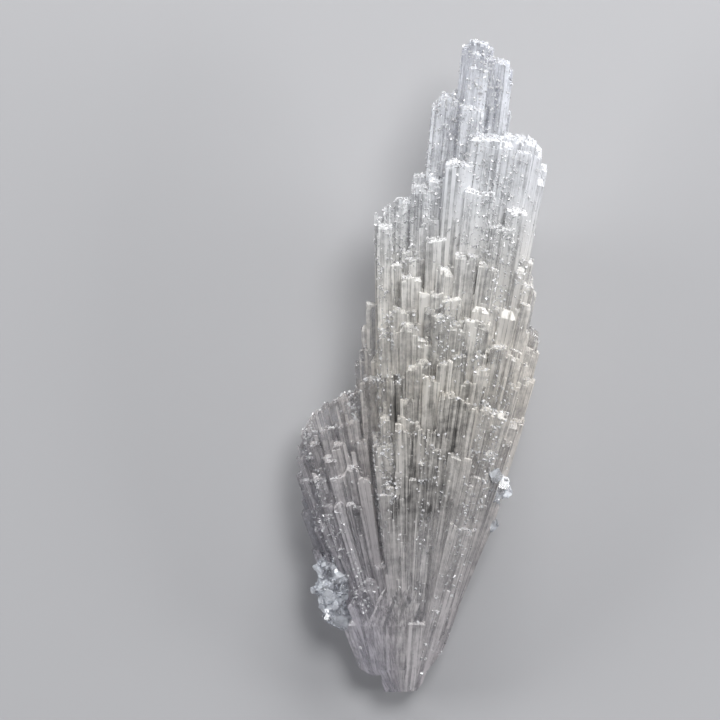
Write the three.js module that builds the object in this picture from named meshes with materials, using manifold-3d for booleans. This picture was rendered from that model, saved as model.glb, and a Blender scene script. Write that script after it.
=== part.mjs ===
// A spray of scolecite: slender, nearly square prisms of clear to milky crystal that fan out from
// one broken root, with a small cluster of glassy crystals grown on its lower left side.
// Units are millimetres. Seen from the front, X runs to the right, Y runs from the root to the
// tips and Z points at the viewer. The spray lies on its back, on the flat side where it parted
// from the rock, with the origin under the middle of its box.
import * as THREE from "three";
import { ConvexGeometry } from "three/addons/geometries/ConvexGeometry.js";
import { mergeVertices } from "three/addons/utils/BufferGeometryUtils.js";
import Module from "manifold-3d";

const wasm = await Module();
wasm.setup();

// Driving dimensions
const tipY = 30.9; // the highest tip
const rootY = -31; // the break at the root
const fanCentre = new THREE.Vector3(-1.4, -34.5, 1.9); // where the crystals' lines meet
const straightening = 0.18; // share of its bearing that a long crystal leans less by than a short one
const shortReach = 18; // from the fan centre, in a crystal that leans by its whole bearing
const longReach = 38; // in one that leans less
const lowestStart = 0.16; // share of its line that every crystal leaves to the root
const startPerDegree = 0.075; // and more of it for each degree that it leans off its bearing
const cutCorner = 0.24; // share of a prism's side that each cut corner takes
const plainWidth = 1.8; // a prism slimmer than this has four plain corners
const plainEnd = 1.05; // and one slimmer than this ends in one plain face
const clusterGap = 0.3; // room between the glassy cluster and the spray it grew on
const weld = 1e-5; // corners closer than this are one

const radians = THREE.MathUtils.degToRad;
const degrees = THREE.MathUtils.radToDeg;

// A solid that manifold-3d can join, from the corners of a convex body
function hullOf(corners) {
  const hull = new ConvexGeometry(corners);
  hull.deleteAttribute("normal");
  return solidOf(hull);
}

function solidOf(geometry) {
  const merged = mergeVertices(geometry, weld);
  return new wasm.Manifold(
    new wasm.Mesh({
      numProp: 3,
      vertProperties: merged.attributes.position.array,
      triVerts: new Uint32Array(merged.index.array),
    }),
  );
}

function geometryOf(solid) {
  const mesh = solid.getMesh();
  return new THREE.BufferGeometry()
    .setAttribute("position", new THREE.BufferAttribute(mesh.vertProperties, 3))
    .setIndex(new THREE.BufferAttribute(mesh.triVerts, 1))
    .toNonIndexed();
}

// A repeatable stream of numbers from 0 to 1
function stream(seed) {
  let state = seed;
  return () => {
    state = (state + 0x6d2b79f5) | 0;
    let mixed = Math.imul(state ^ (state >>> 15), 1 | state);
    mixed = (mixed + Math.imul(mixed ^ (mixed >>> 7), 61 | mixed)) ^ mixed;
    return ((mixed ^ (mixed >>> 14)) >>> 0) / 4294967296;
  };
}

// The outline of a nearly square prism, as pairs across and through it. A broad one has cut corners.
function prismSection(width, depth) {
  const [u, v] = [width / 2, depth / 2];
  if (width < plainWidth) {
    return [
      [u, v],
      [-u, v],
      [-u, -v],
      [u, -v],
    ];
  }
  const cut = cutCorner * Math.min(width, depth);
  return [
    [u, v - cut],
    [u - cut, v],
    [cut - u, v],
    [-u, v - cut],
    [-u, cut - v],
    [cut - u, -v],
    [u - cut, -v],
    [u, cut - v],
  ];
}

// One crystal, given by the middle of its tip as seen from the front.
// rise is the climb of its line from the fan centre, lean its tilt to the right, foot the share of
// its width left at its lower end, slant the fall of its end face to the right, cap the height of
// the facets round that face as a share of the width, and crown the share that the face keeps.
function crystal({
  x,
  y,
  rise,
  lean,
  width,
  depth = width,
  foot = 0.5,
  turn = 0,
  slant = 0,
  cap = 0.28,
  crown = 0.62,
}) {
  const [dx, dy] = [x - fanCentre.x, y - fanCentre.y];
  const reach = Math.hypot(dx, dy);
  const tip = new THREE.Vector3(x, y, fanCentre.z + reach * Math.tan(radians(rise)));
  const bearing = degrees(Math.atan2(dx, dy));
  const longness = THREE.MathUtils.smoothstep(reach, shortReach, longReach);
  const tilt = lean ?? bearing * (1 - straightening * longness);
  // A crystal that leans off its bearing grew from the side of its neighbours, higher up
  const start = lowestStart + startPerDegree * Math.abs(bearing - tilt);
  const climb = radians(rise);
  const along = new THREE.Vector3(
    Math.sin(radians(tilt)) * Math.cos(climb),
    Math.cos(radians(tilt)) * Math.cos(climb),
    Math.sin(climb),
  );
  const across = new THREE.Vector3(Math.cos(radians(tilt)), -Math.sin(radians(tilt)), 0);
  const through = new THREE.Vector3().crossVectors(across, along);
  across.applyAxisAngle(along, radians(turn));
  through.applyAxisAngle(along, radians(turn));
  const fall = Math.tan(radians(slant));
  const ring = (depthBelow, share) =>
    prismSection(width, depth).map(([u, v]) =>
      tip
        .clone()
        .addScaledVector(along, -depthBelow - fall * u * share)
        .addScaledVector(across, u * share)
        .addScaledVector(through, v * share),
    );
  const below = (reach * (1 - start)) / Math.cos(climb);
  const end = width < plainEnd ? ring(0, 1) : [...ring(cap * width, 1), ...ring(0, crown)];
  return hullOf([...ring(below, foot), ...end]);
}

// The crystals that give the spray its outline, from the tallest down.
// The top pair and its shoulder
const summit = [
  { x: 5.25, y: tipY, rise: 8.6, width: 2.9, depth: 2.6, lean: 6.4, cap: 0.2, crown: 0.75 },
  { x: 6.7, y: 29.6, rise: 8.2, width: 3.5, depth: 2.6, lean: 6.4, slant: 22, cap: 0.1 },
  { x: 6.35, y: 29.1, rise: 9.8, width: 3.7, depth: 1.8, lean: 6.4, slant: 12, cap: 0.16 },
  { x: 2.35, y: 25.8, rise: 8.8, width: 2.2, depth: 2.4, lean: 5.6, slant: -14, cap: 0.3 },
  { x: 3.4, y: 26.4, rise: 8.4, width: 1.1, depth: 1.8, lean: 5.8 },
  { x: 4.3, y: 24.6, rise: 10.2, width: 2.0, depth: 1.4, lean: 6.0, slant: 8 },
  { x: 7.4, y: 25.0, rise: 7.2, width: 2.2, depth: 1.6, lean: 6.6, slant: 14 },
];
// The broad block to the right of them, of prisms grown side by side
const block = [
  { x: 6.6, y: 21.9, rise: 11.4, width: 4.2, depth: 3.2, lean: 8.2, cap: 0.14, crown: 0.84 },
  { x: 9.55, y: 21.7, rise: 10.4, width: 3.4, depth: 4.2, lean: 9.6, slant: 8, cap: 0.2 },
  { x: 10.5, y: 21.0, rise: 9.4, width: 1.9, depth: 3.4, lean: 10.2, slant: 24, cap: 0.3 },
  { x: 10.9, y: 18.4, rise: 9.8, width: 1.5, depth: 2.6, lean: 10.6, slant: 12 },
  { x: 11.4, y: 19.1, rise: 9.2, width: 0.9, depth: 2.2, lean: 10.8 },
  { x: 8.0, y: 20.9, rise: 12.9, width: 2.3, depth: 1.6, lean: 8.8, slant: -6 },
  { x: 3.6, y: 19.6, rise: 12.2, width: 2.6, depth: 2.6, lean: 5.2, slant: -10 },
  { x: 5.4, y: 17.2, rise: 13.6, width: 2.6, depth: 1.6, lean: 6.8 },
  { x: 8.9, y: 16.0, rise: 14.0, width: 1.8, depth: 1.5, lean: 9.0, slant: 6 },
];
// The left shoulder, a row of upright prisms with ragged ends
const shoulder = [
  { x: 0.2, y: 18.6, rise: 8.8, width: 1.7, lean: 3.0, slant: -12 },
  { x: 1.7, y: 18.0, rise: 10.6, width: 2.0, lean: 3.2, slant: 6 },
  { x: 0.0, y: 17.6, rise: 10.8, width: 1.8, lean: 2.2, slant: -8 },
  { x: -1.55, y: 16.4, rise: 10.0, width: 1.7, lean: 1.2, slant: -10 },
  { x: -2.85, y: 15.9, rise: 9.8, width: 1.4, lean: 0.6, slant: -16 },
  { x: -3.8, y: 15.0, rise: 9.4, width: 1.05, lean: 0.0, slant: -22 },
  { x: -3.4, y: 13.9, rise: 11.2, width: 1.3, lean: 0.2, slant: 8 },
  { x: -3.5, y: 14.4, rise: 7.2, width: 1.5, lean: 0.2, slant: 4 },
];
// The stair of slim crystals down the left edge, to the notch above the left fan
const leftStair = [
  { x: -4.65, y: 6.5, rise: 8.6, width: 1.0, lean: -0.8 },
  { x: -5.2, y: 4.4, rise: 7.8, width: 0.75, lean: -1.4, slant: -12 },
  { x: -5.45, y: 2.0, rise: 9.4, width: 0.9, lean: -2.0, slant: -10 },
  { x: -5.85, y: 0.9, rise: 8.4, width: 0.8, lean: -2.4 },
  { x: -4.95, y: -0.7, rise: 12.2, width: 1.5, lean: -3.2, slant: -10 },
  { x: -3.35, y: -0.5, rise: 14.4, width: 1.4, lean: -2.2, slant: 6 },
  { x: -2.9, y: 3.4, rise: 13.4, width: 1.5, lean: -0.6, slant: -6 },
];
// The left fan, whose crystals end on one slanting front
const leftFan = [
  { x: -6.5, y: -2.0, rise: 7.8, width: 2.0, depth: 2.6, lean: -9.5, slant: -25, cap: 0.08, crown: 0.9 },
  { x: -8.0, y: -2.7, rise: 7.4, width: 1.9, depth: 2.6, lean: -12, slant: -25, cap: 0.08, crown: 0.9 },
  { x: -9.5, y: -3.5, rise: 6.8, width: 1.6, depth: 2.2, lean: -15, slant: -27, cap: 0.14, crown: 0.8 },
  { x: -10.45, y: -4.4, rise: 6.6, width: 1.4, depth: 1.9, lean: -17, slant: -32, cap: 0.2 },
  { x: -11.1, y: -5.5, rise: 6.6, width: 1.1, lean: -18.5, slant: -36, cap: 0.3 },
  { x: -11.5, y: -6.9, rise: 5.6, width: 0.85, lean: -19.5, slant: -30 },
  { x: -11.45, y: -8.0, rise: 8.2, width: 0.9, lean: -19.5, slant: -20 },
  { x: -11.45, y: -9.6, rise: 6.6, width: 1.1, depth: 1.8, lean: -20, slant: -20 },
  { x: -11.0, y: -13.4, rise: 7.6, width: 0.9, depth: 1.5, lean: -19, slant: -12 },
  { x: -9.9, y: -17.2, rise: 8.0, width: 1.0, depth: 1.5, lean: -20 },
  { x: -6.9, y: -4.8, rise: 11.0, width: 2.1, depth: 1.7, lean: -10, slant: -14, cap: 0.2 },
  { x: -8.75, y: -5.4, rise: 10.0, width: 1.9, depth: 1.7, lean: -13, slant: -12, cap: 0.2 },
  { x: -10.3, y: -10.2, rise: 10.4, width: 2.0, depth: 1.4, lean: -18, slant: 6, cap: 0.2 },
  { x: -8.3, y: -11.6, rise: 12.4, width: 1.8, depth: 1.2, lean: -16, slant: -8 },
];
// The stair of clear crystals down the right edge
const rightStair = [
  { x: 10.35, y: 9.4, rise: 9.2, width: 0.9, lean: 11.4, slant: 10 },
  { x: 10.55, y: 7.7, rise: 8.0, width: 1.0, lean: 12.0, slant: 14 },
  { x: 9.7, y: 6.2, rise: 10.6, width: 1.2, lean: 11.8 },
  { x: 10.8, y: 3.9, rise: 8.4, width: 1.1, lean: 13.0, slant: 30, cap: 0.5 },
  { x: 10.4, y: 2.9, rise: 6.6, width: 1.5, depth: 1.8, lean: 13.4 },
  { x: 10.0, y: -1.0, rise: 9.4, width: 1.1, lean: 14.4, slant: -8 },
  { x: 9.5, y: -3.1, rise: 8.0, width: 1.2, lean: 14.8, slant: 34, cap: 0.3 },
  { x: 9.0, y: -5.4, rise: 6.4, width: 1.3, lean: 15.4 },
  { x: 8.5, y: -8.8, rise: 8.4, width: 1.3, lean: 17.0, slant: 20 },
  { x: 7.4, y: -9.6, rise: 11.4, width: 1.7, depth: 1.5, lean: 16.6 },
  { x: 6.8, y: -13.8, rise: 9.4, width: 1.5, lean: 19.4 },
  { x: 5.3, y: -17.7, rise: 8.0, width: 1.4, lean: 20.4 },
  { x: 2.9, y: -23.9, rise: 9.0, width: 1.2, lean: 21.4 },
];
// Short crystals that end as ledges on the front
const frontLedges = [
  { x: 4.2, y: 10.9, rise: 16.2, width: 2.0, depth: 1.4 },
  { x: 6.3, y: 10.1, rise: 15.6, width: 1.9, depth: 1.4, slant: 6 },
  { x: 3.45, y: 4.8, rise: 17.6, width: 1.15, depth: 1.3 },
  { x: 4.5, y: 4.9, rise: 17.8, width: 1.05, depth: 1.3 },
  { x: 5.55, y: 4.6, rise: 17.4, width: 1.2, depth: 1.3, slant: 8 },
  { x: 0.6, y: 2.6, rise: 17.0, width: 1.7, depth: 1.4, slant: -6 },
  { x: -1.6, y: 6.0, rise: 14.8, width: 1.8, depth: 1.3, slant: 4 },
  { x: 1.9, y: 7.4, rise: 15.8, width: 1.8, depth: 1.3, slant: -8 },
  { x: 8.0, y: 1.8, rise: 16.4, width: 1.9, depth: 1.4, slant: 10 },
  { x: 4.3, y: -3.2, rise: 19.2, width: 1.5, depth: 1.3 },
  { x: 5.8, y: -3.3, rise: 18.8, width: 1.4, depth: 1.3 },
  { x: 7.3, y: -3.6, rise: 17.6, width: 1.5, depth: 1.3, slant: 6 },
  { x: 1.6, y: -5.6, rise: 20.0, width: 1.6, depth: 1.2, slant: -4 },
  { x: -1.2, y: -4.2, rise: 18.6, width: 1.7, depth: 1.2, slant: 6 },
  { x: -3.6, y: -6.6, rise: 17.6, width: 1.6, depth: 1.2, slant: -8 },
  { x: 3.9, y: -14.2, rise: 20.6, width: 2.0, depth: 1.0, slant: 4 },
  { x: 0.9, y: -11.4, rise: 21.4, width: 1.4, depth: 1.0 },
  { x: -3.2, y: -12.8, rise: 19.8, width: 1.6, depth: 1.0, slant: -6 },
  { x: 1.2, y: -21.4, rise: 21.0, width: 1.5, depth: 0.9, slant: 8 },
  { x: -5.6, y: -19.4, rise: 18.0, width: 1.4, depth: 0.9, slant: -10 },
];

// How far the ordinary crystals reach from the fan centre, by bearing in degrees. It stays inside
// the outline that the crystals above give.
const reachByBearing = [
  [-26, 21],
  [-23, 26],
  [-20.8, 28],
  [-17.5, 30.5],
  [-14, 31.5],
  [-7, 32.5],
  [-6, 34],
  [-5, 36],
  [-3.8, 40],
  [-2.2, 46],
  [-1, 49],
  [2, 53],
  [6, 55],
  [12, 53.5],
  [14, 50],
  [15.5, 44],
  [17, 41.5],
  [18.5, 39],
  [20, 34],
  [21.2, 29],
  [22.2, 26],
  [23.2, 21],
  [24, 12],
  [27, 6],
];

function reachAt(bearing) {
  const last = reachByBearing.findIndex(([angle]) => angle >= bearing);
  const [[a, near], [b, far]] = [reachByBearing[last - 1], reachByBearing[last]];
  return near + ((far - near) * (bearing - a)) / (b - a);
}

// The ordinary crystals, in layers from the back of the fan to its front. left and right are the
// layer's bearings, and share how much of the reach it fills.
const layers = [
  { rise: -3.6, left: -12, right: 9, share: 0.62 },
  { rise: -1.6, left: -17, right: 15, share: 0.84 },
  { rise: 1.4, left: -20, right: 19, share: 0.9 },
  { rise: 4.4, left: -22, right: 22, share: 0.95 },
  { rise: 7.4, left: -23, right: 24, share: 0.98 },
  { rise: 10.4, left: -23, right: 23.5, share: 0.96 },
  { rise: 13.4, left: -21, right: 22, share: 0.88 },
  { rise: 16.4, left: -18.5, right: 19, share: 0.76 },
  { rise: 19.4, left: -14, right: 14.5, share: 0.56 },
];
const bearingStep = 2.9; // degrees between neighbours in a layer
const layerStep = 3; // degrees between layers
const widest = 1.75; // the most that an ordinary crystal measures across

function ordinaryCrystals() {
  const next = stream(7);
  const between = (low, high) => low + (high - low) * next();
  const made = [];
  for (const [row, { rise, left, right, share }] of layers.entries()) {
    const first = left + (row % 2 ? bearingStep / 2 : 0);
    for (let bearing = first; bearing <= right; bearing += bearingStep) {
      const swing = Math.min(bearing + between(-0.25, 0.25) * bearingStep, right);
      const reach = reachAt(swing) * share * between(0.78, 1);
      made.push(
        crystal({
          x: fanCentre.x + reach * Math.sin(radians(swing)),
          y: fanCentre.y + reach * Math.cos(radians(swing)),
          rise: rise + between(-0.4, 0.4),
          width: Math.min(widest, reach * radians(bearingStep) * between(1.0, 1.25)),
          depth: Math.min(widest, reach * radians(layerStep) * between(1.1, 1.4)),
          turn: between(-12, 12),
          slant: between(-18, 18),
          cap: between(0.1, 0.35),
          crown: between(0.5, 0.8),
        }),
      );
    }
  }
  return made;
}

// The grown-together middle of the fan and the cone at its root, which the crystals stand out of.
// Each station is a height, the left and right limits there, and the lowest and highest Z.
const middleStations = [
  [-24, -5.0, 1.4, 0.6, 5.6],
  [-6, -5.2, 4.4, 1.4, 9.0],
  [8, -2.2, 6.6, 4.4, 11.0],
  [14, 0.8, 7.4, 7.6, 11.2],
];
const coneStations = [
  [rootY, -3.6, -0.2, 0.5, 3.5],
  [-28.8, -6.0, 0.9, 0.2, 4.6],
  [-24.5, -7.6, 3.0, 0.1, 6.1],
  [-18.5, -8.6, 5.2, 0.5, 7.6],
];

// The outline that the break at the root leaves, from the front
const breakOutline = [
  [-3.75, -29.3],
  [-3.4, rootY],
  [-0.4, rootY],
  [0.7, -28.9],
  [2.3, -26.6],
  [3.9, -22],
  [7, -14.5],
  [14, 10],
  [14, 40],
  [-14, 40],
  [-14, -8],
  [-9.4, -20],
  [-5.8, -28.7],
];

// The corners of a body through stations, eight to each, with its four long edges cut off
function stationCorners(stations) {
  const pinch = 0.22; // share of each side that a cut edge takes
  return stations.flatMap(([y, left, right, low, high]) => {
    const inset = pinch * (right - left);
    const shelf = pinch * (high - low);
    return [
      [left, low + shelf],
      [left + inset, low],
      [right - inset, low],
      [right, low + shelf],
      [right, high - shelf],
      [right - inset, high],
      [left + inset, high],
      [left, high - shelf],
    ].map(([x, z]) => new THREE.Vector3(x, y, z));
  });
}

// The glassy cluster: blocky crystals with square faces and cut corners, grown against each other.
// Each is the middle of the block, half its sides, and its turns about X, Y and Z in degrees.
const glassyBlocks = [
  { at: [-8.6, -19.4, 5.2], half: [0.95, 1.15, 1.0], turns: [14, -18, 12] },
  { at: [-9.0, -20.6, 4.6], half: [0.8, 0.95, 1.1], turns: [-20, 10, -24] },
  { at: [-8.1, -21.0, 5.5], half: [1.0, 0.9, 0.85], turns: [30, 16, 8] },
  { at: [-8.5, -22.2, 4.7], half: [0.9, 0.8, 0.9], turns: [-12, -26, 20] },
  { at: [-7.8, -23.4, 4.2], half: [1.15, 1.05, 1.0], turns: [8, 12, -28] },
  { at: [-9.0, -18.5, 4.4], half: [0.6, 0.7, 0.8], turns: [24, 20, -10] },
  { at: [-7.7, -19.8, 6.0], half: [0.65, 0.65, 0.65], turns: [-26, 34, 16] },
];
const blockCut = 0.34; // share of a block's half side that its cut corners take

function blockCorners({ at, half, turns }, grow = 0) {
  const [a, b, c] = half.map((side) => side + grow);
  const cut = blockCut * Math.min(a, b, c);
  const spin = new THREE.Euler(...turns.map(radians));
  const corners = [];
  for (const i of [-1, 1]) {
    for (const j of [-1, 1]) {
      for (const k of [-1, 1]) {
        corners.push(
          new THREE.Vector3(i * (a - cut), j * b, k * c),
          new THREE.Vector3(i * a, j * (b - cut), k * c),
          new THREE.Vector3(i * a, j * b, k * (c - cut)),
        );
      }
    }
  }
  return corners.map((corner) => corner.applyEuler(spin).add(new THREE.Vector3(...at)));
}

// The largest body of a solid, without the sealed gaps that crystals leave between them
function outerBody(solid) {
  return solid.decompose().reduce((best, body) => (body.volume() > best.volume() ? body : best));
}

// The space that the break at the root and the flat back leave to the crystals
function spaceInsideBreak() {
  const outline = new THREE.Shape(breakOutline.map(([x, y]) => new THREE.Vector2(x, y)));
  const kept = new THREE.ExtrudeGeometry(outline, { depth: 40, bevelEnabled: false });
  kept.deleteAttribute("normal");
  kept.deleteAttribute("uv");
  return solidOf(kept);
}

const outlineCrystals = [
  ...summit,
  ...block,
  ...shoulder,
  ...leftStair,
  ...leftFan,
  ...rightStair,
  ...frontLedges,
].map(crystal);
const grown = wasm.Manifold.union([
  hullOf(stationCorners(middleStations)),
  hullOf(stationCorners(coneStations)),
  ...outlineCrystals,
  ...ordinaryCrystals(),
]);
const clusterSeat = wasm.Manifold.union(
  glassyBlocks.map((block) => hullOf(blockCorners(block, clusterGap))),
);
const spray = outerBody(grown.intersect(spaceInsideBreak()).subtract(clusterSeat));
const cluster = outerBody(
  wasm.Manifold.union(glassyBlocks.map((block) => hullOf(blockCorners(block)))),
);

const sprayMesh = new THREE.Mesh(
  geometryOf(spray),
  new THREE.MeshStandardMaterial({ color: 0xb9b8bb, roughness: 0.22, metalness: 0 }),
);
sprayMesh.name = "scolecite_spray";

const clusterMesh = new THREE.Mesh(
  geometryOf(cluster),
  new THREE.MeshStandardMaterial({ color: 0xc9d2dc, roughness: 0.08, metalness: 0 }),
);
clusterMesh.name = "glassy_side_crystals";

const specimen = new THREE.Group();
specimen.add(sprayMesh, clusterMesh);

// The origin goes under the middle of the box
const box = new THREE.Box3().setFromObject(specimen);
const middle = box.getCenter(new THREE.Vector3());
specimen.position.set(-middle.x, -middle.y, -box.min.z);

export default specimen;
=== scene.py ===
# A lying spray of scolecite, in metres, in the frame of its solids: X runs to the right, Y from the
# broken root to the tips, and Z up, out of the front that the camera looks down on.
import math
import random

import bmesh
import bpy
from mathutils import Euler, Matrix, Vector


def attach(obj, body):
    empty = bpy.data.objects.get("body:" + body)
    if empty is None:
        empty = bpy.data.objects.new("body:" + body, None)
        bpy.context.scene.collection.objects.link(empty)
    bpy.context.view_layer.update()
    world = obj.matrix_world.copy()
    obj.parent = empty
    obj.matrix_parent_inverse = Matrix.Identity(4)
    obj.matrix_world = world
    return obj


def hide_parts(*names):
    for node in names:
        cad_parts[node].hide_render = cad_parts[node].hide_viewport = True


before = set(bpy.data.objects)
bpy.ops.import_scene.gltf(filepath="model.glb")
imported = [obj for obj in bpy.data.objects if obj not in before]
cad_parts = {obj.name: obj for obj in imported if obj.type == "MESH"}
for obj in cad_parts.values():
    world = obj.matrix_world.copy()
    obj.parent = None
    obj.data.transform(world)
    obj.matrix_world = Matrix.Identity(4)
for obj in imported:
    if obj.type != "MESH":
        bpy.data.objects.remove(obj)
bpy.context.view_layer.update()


# The slender prisms
# Nearly square prisms of clear to milky scolecite that grew from one root and fan out from it. Each
# is a bundle of finer prisms side by side, so that its faces are striated and its end is ragged.
# They are grown by geometry nodes from one point for each crystal, at the tips that the solids have.

mm = 0.001
fan_centre = Vector((-1.4, -34.5, 1.9))  # where the crystals' lines meet, in millimetres
straightening = 0.18  # share of its bearing that a long crystal leans less by than a short one
short_reach = 18  # from the fan centre, in a crystal that leans by its whole bearing
long_reach = 38  # in one that leans less
lowest_start = 0.16  # share of its line that every crystal leaves to the root
start_per_degree = 0.075  # and more of it for each degree that it leans off its bearing
origin_shift = Vector((-0.02, -0.06, 0))  # puts the origin under the middle of the solids' box


def smooth_share(value, low, high):
    share = min(max((value - low) / (high - low), 0), 1)
    return share * share * (3 - 2 * share)


def crystal(x, y, rise, width, depth=None, lean=None, slant=0.0, turn=0.0, milk=0.5, ragged=0.5, bare=1.0):
    """One crystal by the middle of its tip, as it is seen from the front, in millimetres and degrees.
    rise is the climb of its line from the fan centre, lean its tilt to the right, slant the fall of
    its end face, turn how far its sides are turned about its line, milk how cloudy it is, ragged how
    far down its finer prisms end and bare the share of its length that shows."""
    dx, dy = x - fan_centre.x, y - fan_centre.y
    reach = math.hypot(dx, dy)
    bearing = math.degrees(math.atan2(dx, dy))
    if lean is None:
        lean = bearing * (1 - straightening * smooth_share(reach, short_reach, long_reach))
    start = lowest_start + start_per_degree * abs(bearing - lean)
    tilt, climb = math.radians(lean), math.radians(rise)
    along = Vector((math.sin(tilt) * math.cos(climb), math.cos(tilt) * math.cos(climb), math.sin(climb)))
    across = Matrix.Rotation(math.radians(turn), 3, along) @ Vector((math.cos(tilt), -math.sin(tilt), 0))
    tip = Vector((x, y, fan_centre.z + reach * math.tan(climb))) + origin_shift
    return {
        "tip": tip * mm,
        "along": along,
        "across": across,
        "width": width * mm,
        "depth": (depth or width) * mm,
        "length": reach * (1 - start) / math.cos(climb) * mm,
        "fall": math.tan(math.radians(slant)),
        "milk": milk,
        "ragged": ragged * mm,
        "bare": bare,
    }


# The crystals that give the spray its outline, from the tallest down
summit = [
    dict(x=5.4, y=31.0, rise=8.6, width=1.7, depth=2.6, lean=6.4),
    dict(x=4.5, y=30.6, rise=8.5, width=1.2, depth=2.4, lean=6.4, slant=-30),
    dict(x=6.3, y=30.7, rise=8.4, width=1.1, depth=2.2, lean=6.4, slant=26),
    dict(x=6.5, y=29.6, rise=9.0, width=3.6, depth=2.4, lean=6.4, slant=12),
    dict(x=8.1, y=28.8, rise=8.4, width=1.1, depth=2.4, lean=6.4, slant=38),
    dict(x=5.4, y=28.6, rise=9.6, width=2.0, depth=1.8, lean=6.4, slant=-6),
    dict(x=2.6, y=25.8, rise=8.8, width=1.7, depth=2.4, lean=5.6),
    dict(x=1.65, y=25.3, rise=8.8, width=1.1, depth=2.2, lean=5.6, slant=-34),
    dict(x=3.5, y=26.4, rise=8.6, width=1.1, depth=1.8, lean=5.8),
    dict(x=4.85, y=24.8, rise=10.3, width=2.2, depth=1.8, lean=6.0, slant=8),
    dict(x=7.4, y=25.0, rise=7.6, width=2.2, depth=1.8, lean=6.6, slant=14),
]
block = [
    dict(x=6.6, y=21.9, rise=11.6, width=4.2, depth=3.2, lean=8.2),
    dict(x=9.3, y=21.9, rise=11.0, width=3.0, depth=3.6, lean=9.6, slant=4),
    dict(x=10.65, y=21.1, rise=10.0, width=1.6, depth=3.2, lean=10.2, slant=38),
    dict(x=10.9, y=18.4, rise=9.8, width=1.5, depth=2.6, lean=10.6, slant=12),
    dict(x=11.4, y=19.1, rise=9.2, width=0.9, depth=2.2, lean=10.8),
    dict(x=8.0, y=20.9, rise=12.5, width=4.6, depth=1.9, lean=8.8, slant=2),
    dict(x=3.6, y=19.6, rise=12.0, width=2.6, depth=2.6, lean=5.2, slant=-10),
    dict(x=5.4, y=16.9, rise=13.5, width=2.8, depth=1.6, lean=6.8),
    dict(x=8.9, y=15.0, rise=13.9, width=1.8, depth=1.5, lean=9.0, slant=6),
    dict(x=7.6, y=13.4, rise=14.2, width=2.4, depth=1.5, lean=8.4, slant=-4),
]
shoulder = [
    dict(x=0.2, y=18.6, rise=8.8, width=1.7, lean=3.0, slant=-12),
    dict(x=1.7, y=18.0, rise=10.6, width=2.0, lean=3.2, slant=6),
    dict(x=0.0, y=17.6, rise=10.8, width=1.8, lean=2.2, slant=-8),
    dict(x=-1.55, y=16.4, rise=10.0, width=1.7, lean=1.2, slant=-10),
    dict(x=-2.85, y=15.9, rise=9.8, width=1.4, lean=0.6, slant=-16),
    dict(x=-3.8, y=15.0, rise=9.4, width=1.05, lean=0.0, slant=-22),
    dict(x=-3.4, y=13.9, rise=11.2, width=1.3, lean=0.2, slant=8),
    dict(x=-3.5, y=14.4, rise=7.2, width=1.5, lean=0.2, slant=4),
]
left_stair = [
    dict(x=-4.65, y=6.5, rise=8.6, width=1.0, lean=-0.8),
    dict(x=-5.2, y=4.4, rise=7.8, width=0.75, lean=-1.4, slant=-12),
    dict(x=-5.45, y=2.0, rise=9.4, width=0.9, lean=-2.0, slant=-10),
    dict(x=-5.85, y=0.9, rise=8.4, width=0.8, lean=-2.4),
    dict(x=-4.95, y=-0.7, rise=12.2, width=1.5, lean=-3.2, slant=-10),
    dict(x=-3.35, y=-0.5, rise=14.4, width=1.4, lean=-2.2, slant=6),
    dict(x=-2.9, y=3.4, rise=13.4, width=1.5, lean=-0.6, slant=-6),
]
left_fan = [
    dict(x=-6.5, y=-2.0, rise=7.8, width=2.0, depth=2.6, lean=-9.5, slant=-25),
    dict(x=-8.0, y=-2.7, rise=7.4, width=1.9, depth=2.6, lean=-12, slant=-25),
    dict(x=-9.5, y=-3.5, rise=6.8, width=1.6, depth=2.2, lean=-15, slant=-27),
    dict(x=-10.45, y=-4.4, rise=6.6, width=1.4, depth=1.9, lean=-17, slant=-32),
    dict(x=-11.1, y=-5.5, rise=6.6, width=1.1, lean=-18.5, slant=-36),
    dict(x=-11.5, y=-6.9, rise=5.6, width=0.85, lean=-19.5, slant=-30),
    dict(x=-11.45, y=-8.0, rise=8.2, width=0.9, lean=-19.5, slant=-20),
    dict(x=-11.45, y=-9.6, rise=6.6, width=1.1, depth=1.8, lean=-20, slant=-20),
    dict(x=-11.0, y=-13.4, rise=7.6, width=0.9, depth=1.5, lean=-19, slant=-12),
    dict(x=-9.9, y=-17.2, rise=8.0, width=1.0, depth=1.5, lean=-20),
    dict(x=-6.9, y=-4.8, rise=11.0, width=2.1, depth=1.7, lean=-10, slant=-14),
    dict(x=-8.75, y=-5.4, rise=10.0, width=1.9, depth=1.7, lean=-13, slant=-12),
    dict(x=-10.3, y=-10.2, rise=10.4, width=2.0, depth=1.4, lean=-18, slant=6),
    dict(x=-8.3, y=-11.6, rise=12.4, width=1.8, depth=1.2, lean=-16, slant=-8),
]
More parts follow.
